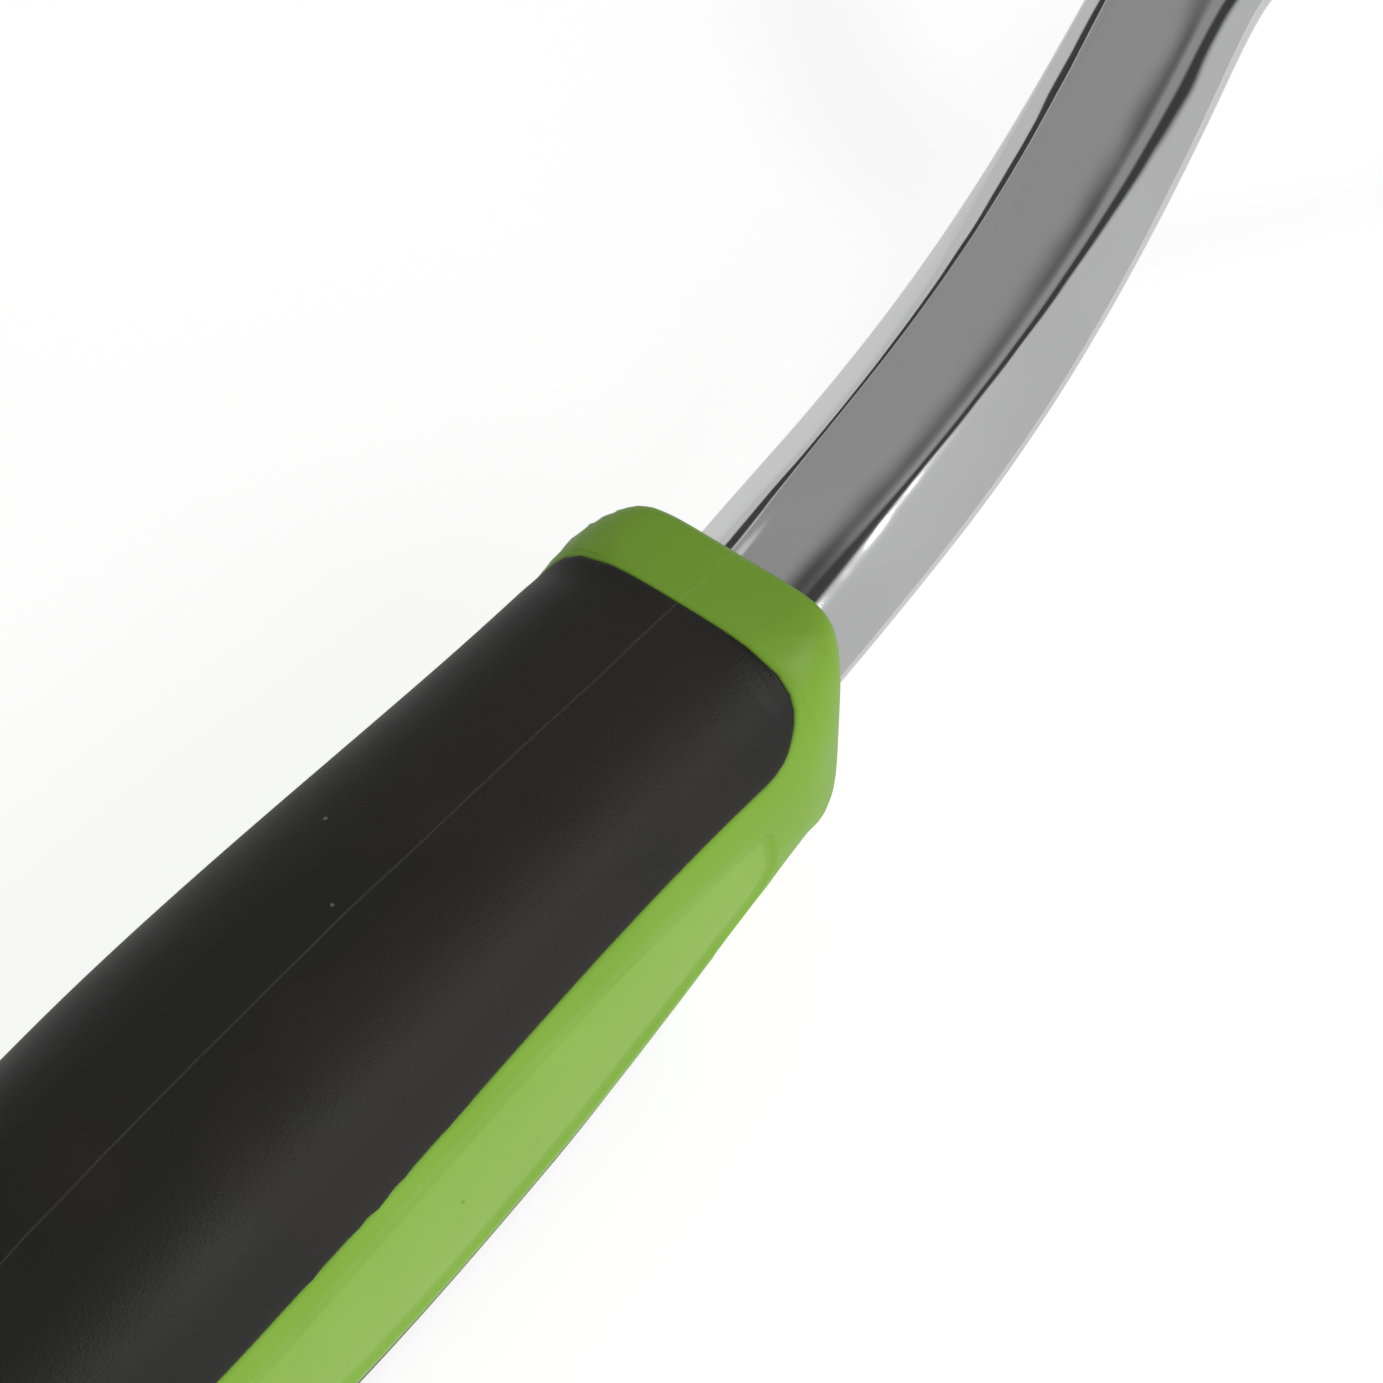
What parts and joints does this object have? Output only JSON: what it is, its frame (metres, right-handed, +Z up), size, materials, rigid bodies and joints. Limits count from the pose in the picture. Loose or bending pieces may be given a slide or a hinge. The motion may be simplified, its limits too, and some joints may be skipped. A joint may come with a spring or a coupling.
{
  "type": "hand cultivator",
  "caption": "Short garden cultivator: polished cast head with bevelled neck and curved tines, two-colour soft grip with a hanging hole.",
  "frame": {"origin": "middle of the tool's length and width, on the ground plane that the tine tips and the belly of the grip touch", "axes": "+X from the grip towards the tines, +Y to the tool's left, +Z up out of the top of the grip"},
  "size_m": [0.2596, 0.0828, 0.0606],
  "materials": {
    "polished_casting": "polished",
    "green_plastic": "fine satin moulding",
    "black_rubber": "matte soft-touch"
  },
  "bodies": {
    "root": {"tine_head_casting": "polished_casting", "handle_core": "green_plastic", "grip_top_pad": "black_rubber", "grip_finger_pad": "black_rubber"}
  },
  "joints": []
}
